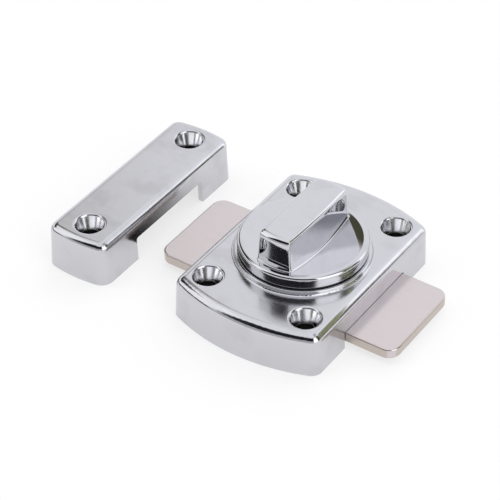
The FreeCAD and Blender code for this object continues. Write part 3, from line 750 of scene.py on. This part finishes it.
# ------------------------------------------------------------------ the latch
@dataclass
class Latch:
    """The parts that keep the CAD's meshes: which finish each one has."""

    seat_height: float = 1.25 * MM
    cast_roughness: float = 0.12
    turned_grain: Triple = (0.9 * MM, 0.9 * MM, 0.04 * MM)
    drawn_grain: Triple = (0.4 * MM, 0.4 * MM, 0.03 * MM)

    def castings(self) -> dict[str, Finish]:
        """The two castings' own finishes, which know where their screw holes are.

        Returns:
            Each casting's node and its finish.
        """
        housing_bores = self.bores("housing", "housing_screws", self.seat_height)
        keeper_bores = self.bores("keeper", "keeper_screws")
        return {
            "housing": Chrome("housing_chrome", roughness=self.cast_roughness, bores=housing_bores),
            "keeper": Chrome("keeper_chrome", roughness=self.cast_roughness, bores=keeper_bores),
        }

    def finishes(self) -> dict[Slot, Finish]:
        """The finish that stands for each material slot.

        Returns:
            A finish for every slot.
        """
        bolt_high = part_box("bolt_plate")[1]
        return {
            Slot.CHROME: Chrome("bright_chrome"),
            Slot.SATIN: SatinPlate("satin_nickel", (bolt_high.x, bolt_high.y)),
            Slot.ZINC: Steel(
                "zinc_plate", colour=(0.62, 0.63, 0.66), stain=(0.50, 0.50, 0.47), roughness=0.26
            ),
            Slot.BARE: Steel(
                "bare_steel",
                colour=(0.50, 0.49, 0.48),
                stain=(0.36, 0.33, 0.30),
                roughness=0.30,
                cloud=2.0 * MM,
            ),
            Slot.SPRING: Steel(
                "spring_steel",
                colour=(0.42, 0.42, 0.44),
                stain=(0.30, 0.28, 0.27),
                roughness=0.22,
                grain=self.drawn_grain,
            ),
            Slot.BRASS: Steel(
                "bush_brass",
                colour=(0.74, 0.55, 0.27),
                stain=(0.52, 0.36, 0.18),
                roughness=0.24,
                grain=self.turned_grain,
            ),
            Slot.NYLON: Nylon("nylon"),
        }

    def bores(self, node: str, mount: str, raised: float = 0.0) -> Bores:
        """The screw holes of a casting, from the record's mount for them.

        Args:
            node: the casting's CAD node.
            mount: the name of its mount in the record.
            raised: how far its highest point stands above the face round the holes.

        Returns:
            The places and sizes of the holes.
        """
        facts = next(m for m in frame["record"]["mounts"] if m["name"] == mount)
        low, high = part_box(node)
        sizes = facts["dims"]
        return Bores(
            centre_x=(low.x + high.x) / 2,
            reach_x=sizes.get("spacing_x_mm", 0.0) / 2 * MM,
            reach_y=sizes["spacing_y_mm"] / 2 * MM,
            hole=sizes["hole_r_mm"] * MM,
            top=high.z - raised,
        )

    def dress(self) -> None:
        """Gives every CAD node the finish of its slot in the record, and each finish one material."""
        own = {node: finish.material() for node, finish in self.castings().items()}
        shared = {slot: finish.material() for slot, finish in self.finishes().items()}
        for part in frame["record"]["subparts"]:
            name = part["node"]
            material = own.get(name) or shared[Slot(part["material_slot"])]
            node = frame["nodes"][name]
            node.data.materials.clear()
            node.data.materials.append(material)
            log.info("%s: %s, %d faces", name, material.name, len(node.data.polygons))


# ------------------------------------------------------------------ studio
@dataclass(frozen=True)
class Card:
    """A soft-edged patch of the sky, in degrees: azimuth 0 towards -Y and 90 towards +X."""

    azimuth: Span
    elevation: Span
    colour: Rgb
    soft: float = 1.5

    def mask(self, g: Graph, azimuth: Value, elevation: Value) -> bpy.types.NodeSocket:
        """Where the patch is: smooth steps at its four sides, multiplied.

        Args:
            g: the graph to add to.
            azimuth: the direction's azimuth, in radians.
            elevation: its elevation, in radians.

        Returns:
            1 inside the patch and 0 outside it.
        """
        sides = []
        for value, (low, high) in ((azimuth, self.azimuth), (elevation, self.elevation)):
            for limit, soft in ((low, self.soft), (high, -self.soft)):
                sides.append(g.step(value, math.radians(limit - soft), math.radians(limit + soft)))
        first, second = g.math("MULTIPLY", *sides[:2]), g.math("MULTIPLY", *sides[2:])
        return g.math("MULTIPLY", first, second)


@dataclass(frozen=True)
class Flag:
    """A board in the studio that only mirrors see: it casts no shadow and lights nothing."""

    name: str
    corners: tuple[Triple, ...]
    colour: Rgb
    fades: bool = True

    def build(self) -> None:
        """Makes the board. If it fades, it goes clear along Y from its first corner to its third."""
        mesh = bpy.data.meshes.new(self.name)
        mesh.from_pydata(self.corners, [], [(0, 1, 2, 3)])
        board = bpy.data.objects.new(self.name, mesh)
        bpy.context.scene.collection.objects.link(board)
        board.visible_camera = False
        board.visible_diffuse = False
        board.visible_shadow = False
        made, g = new_material(self.name)
        cloth = g.add("ShaderNodeBsdfDiffuse", {"Color": rgba(self.colour)})
        surface = cloth.outputs[0]
        if self.fades:
            fade = g.step(g.split(g.place())[1], self.corners[0][1], self.corners[2][1])
            clear = g.add("ShaderNodeBsdfTransparent")
            surface = g.add("ShaderNodeMixShader", {0: fade, 1: surface, 2: clear.outputs[0]}).outputs[0]
        g.add("ShaderNodeOutputMaterial", {"Surface": surface})
        mesh.materials.append(made)


@dataclass
class Studio:
    """A pale table, lit from within as well, in a bright soft room, and the camera.

    From panel_left to screen_right the fields are the azimuths where one card of the room ends
    and the next begins, in degrees. The strip's and the board's come next, then the camera's.
    """

    floor_half: float = 1.5
    floor_colour: Rgb = (0.93, 0.93, 0.93)
    floor_glow: float = 0.65
    floor_light: float = 1.12
    room_colour: Rgb = (1.06, 1.06, 1.10)
    backdrop: Rgb = (0.98, 0.98, 0.98)
    fill: float = 1.35
    panel_left: float = -95.0
    opening_left: float = -39.5
    opening_right: float = 56.7
    lamp_right: float = 101.7
    screen_right: float = 133.7
    strip_lift: float = 0.3 * MM
    strip_width: float = 7 * MM
    strip_near: float = -10 * MM
    strip_far: float = 29.5 * MM
    # Painted shade: the strip's colour, dark for the shade on the table before the keeper's mouth.
    strip_shade_colour: Rgb = (0.02, 0.02, 0.02)
    board_away: float = 30 * MM
    board_low: float = 14 * MM
    board_high: float = 66 * MM
    board_front: float = -8 * MM
    board_back: float = 8 * MM
    board_lean: float = 0.58
    board_colour: Rgb = (0.36, 0.38, 0.22)
    sensor: float = 36.0
    lens: float = 146.81
    azimuth: float = 34.34
    elevation: float = 39.35
    roll: float = -0.35
    distance: float = 0.5513
    nearest: float = 0.01
    farthest: float = 20.0
    target_height: float = 0.00691
    slide_right: float = 0.01428
    slide_up: float = -0.00448

    def cards(self) -> list[Card]:
        """What stands round the table. A later card covers an earlier one.

        Returns:
            A bright panel at the front left with a dark foot, a dark gap at its far end, an olive
            screen past the gap with a paler edge, a dark opening in front over a grey sill, a
            lamp at the right, three soft lights at the back right, and a brown screen.
        """
        panel = (self.panel_left, self.opening_left)
        opening = (self.opening_left, self.opening_right)
        return [
            Card(panel, (0.0, 62.0), (1.3, 1.3, 1.32)),
            Card(panel, (-2.0, 11.0), (0.05, 0.05, 0.06), soft=2.0),
            Card((-108.0, -70.0), (27.0, 48.0), (0.02, 0.02, 0.02)),
            Card((-139.0, -128.0), (27.0, 54.0), (0.50, 0.50, 0.44), soft=4.0),
            Card((-131.5, -107.0), (27.0, 52.0), (0.09, 0.09, 0.06)),
            Card(opening, (-2.0, 24.0), (0.55, 0.55, 0.58), soft=4.0),
            Card(opening, (22.0, 58.0), (0.015, 0.015, 0.02)),
            Card((self.opening_right, self.lamp_right), (5.0, 50.0), (1.9, 1.9, 1.9)),
            Card((self.screen_right, 152.0), (-2.0, 37.0), (1.6, 1.6, 1.66), soft=3.0),
            Card((137.0, 168.0), (37.0, 56.0), (1.15, 1.15, 1.20), soft=4.0),
            Card((100.0, 175.0), (54.0, 75.0), (0.50, 0.50, 0.56), soft=6.0),
            Card((self.lamp_right, self.screen_right), (-2.0, 50.0), (0.10, 0.095, 0.07)),
        ]

    def build_floor(self) -> None:
        """Lays the table under the latch."""
        h = self.floor_half
        mesh = bpy.data.meshes.new("table_top")
        mesh.from_pydata([(-h, -h, 0), (h, -h, 0), (h, h, 0), (-h, h, 0)], [], [(0, 1, 2, 3)])
        floor = bpy.data.objects.new("table_top", mesh)
        bpy.context.scene.collection.objects.link(floor)
        made, g = new_material("table_paint")
        paint = g.add("ShaderNodeBsdfDiffuse", {"Color": rgba(self.floor_colour)})
        light = {"Color": rgba(self.floor_colour), "Strength": self.floor_light}
        glow = g.add("ShaderNodeEmission", light)
        both = g.add("ShaderNodeMixShader", {0: self.floor_glow, 1: paint.outputs[0], 2: glow.outputs[0]})
        g.add("ShaderNodeOutputMaterial", {"Surface": both.outputs[0]})
        mesh.materials.append(made)

    def flags(self) -> list[Flag]:
        """The two boards that the latch mirrors.

        Returns:
            A sheet of painted shade on the table before the keeper's mouth, dark for the shade that
            falls there and seen only in the keeper's mirror, and an olive board past the housing's
            right side, which slants towards +Y as it rises.
        """
        left = (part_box("keeper")[1].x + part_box("bolt_plate")[0].x) / 2
        right = left + self.strip_width
        near, far, lift = self.strip_near, self.strip_far, self.strip_lift
        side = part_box("housing")[1].x + self.board_away
        low, high = self.board_low, self.board_high
        front, back = self.board_front, self.board_back
        rise = self.board_lean * (high - low)
        strip = ((left, near, lift), (right, near, lift), (right, far, lift), (left, far, lift))
        foot = ((side, front, low), (side, back, low))
        head = ((side, back + rise, high), (side, front + rise, high))
        return [
            # Painted shade: a dark sheet that only mirrors see, put before the keeper's mouth where there
            # is only shade.
            Flag("painted_shade_strip", strip, self.strip_shade_colour),
            Flag("olive_board", foot + head, self.board_colour, fades=False),
        ]

    def build_world(self) -> None:
        """Surrounds the table with the room and its cards, plain where the camera sees past it."""
        world = bpy.data.worlds.new("studio")
        bpy.context.scene.world = world
        world.use_nodes = True
        g = Graph(world.node_tree)
        x, y, z = g.split(g.add("ShaderNodeTexCoord").outputs["Generated"])
        azimuth = g.math("ARCTAN2", x, g.math("MULTIPLY", y, -1.0))
        elevation = g.math("ARCSINE", z)
        colour: Value = rgba(self.room_colour)
        for card in self.cards():
            colour = g.mix(card.mask(g, azimuth, elevation), colour, rgba(card.colour))
        path = g.add("ShaderNodeLightPath")
        strength = g.lerp(path.outputs["Is Diffuse Ray"], 1.0, self.fill)
        lit = g.add("ShaderNodeBackground", {"Color": colour, "Strength": strength})
        seen = g.add("ShaderNodeBackground", {"Color": rgba(self.backdrop), "Strength": 1.0})
        both = {0: path.outputs["Is Camera Ray"], 1: lit.outputs[0], 2: seen.outputs[0]}
        g.add("ShaderNodeOutputWorld", {"Surface": g.add("ShaderNodeMixShader", both).outputs[0]})

    def build_camera(self) -> None:
        """Stands the camera where the latch is seen from above its right front corner."""
        a, e, r = (math.radians(v) for v in (self.azimuth, self.elevation, self.roll))
        back = Vector((math.sin(a) * math.cos(e), -math.cos(a) * math.cos(e), math.sin(e)))
        level = (-back).cross(Vector((0, 0, 1))).normalized()
        above = level.cross(-back)
        right = level * math.cos(r) + above * math.sin(r)
        up = above * math.cos(r) - level * math.sin(r)
        place = Vector((0, 0, self.target_height)) + back * self.distance
        place -= right * self.slide_right + up * self.slide_up
        data = bpy.data.cameras.new("camera")
        data.sensor_width = self.sensor
        data.lens = self.lens
        data.clip_start, data.clip_end = self.nearest, self.farthest
        camera = bpy.data.objects.new("camera", data)
        turn = Matrix((right, up, back)).transposed().to_4x4()
        camera.matrix_world = Matrix.Translation(place) @ turn
        bpy.context.scene.collection.objects.link(camera)
        bpy.context.scene.camera = camera

    def build(self) -> None:
        """Builds the camera, the table, the boards and the room."""
        self.build_camera()
        self.build_floor()
        for flag in self.flags():
            flag.build()
        self.build_world()
        bpy.context.scene.view_settings.view_transform = "Standard"


def main() -> None:
    """Builds the studio, dresses the latch and builds the knob."""
    logging.basicConfig(level=logging.INFO, format="%(name)s: %(message)s")
    Studio().build()
    Latch().dress()
    knob = Knob()
    piece = knob.build()
    knob.dress(piece)
    log.info("%s: %d faces", piece.name, len(piece.data.polygons))


if __name__ == "__main__":
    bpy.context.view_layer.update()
    main()
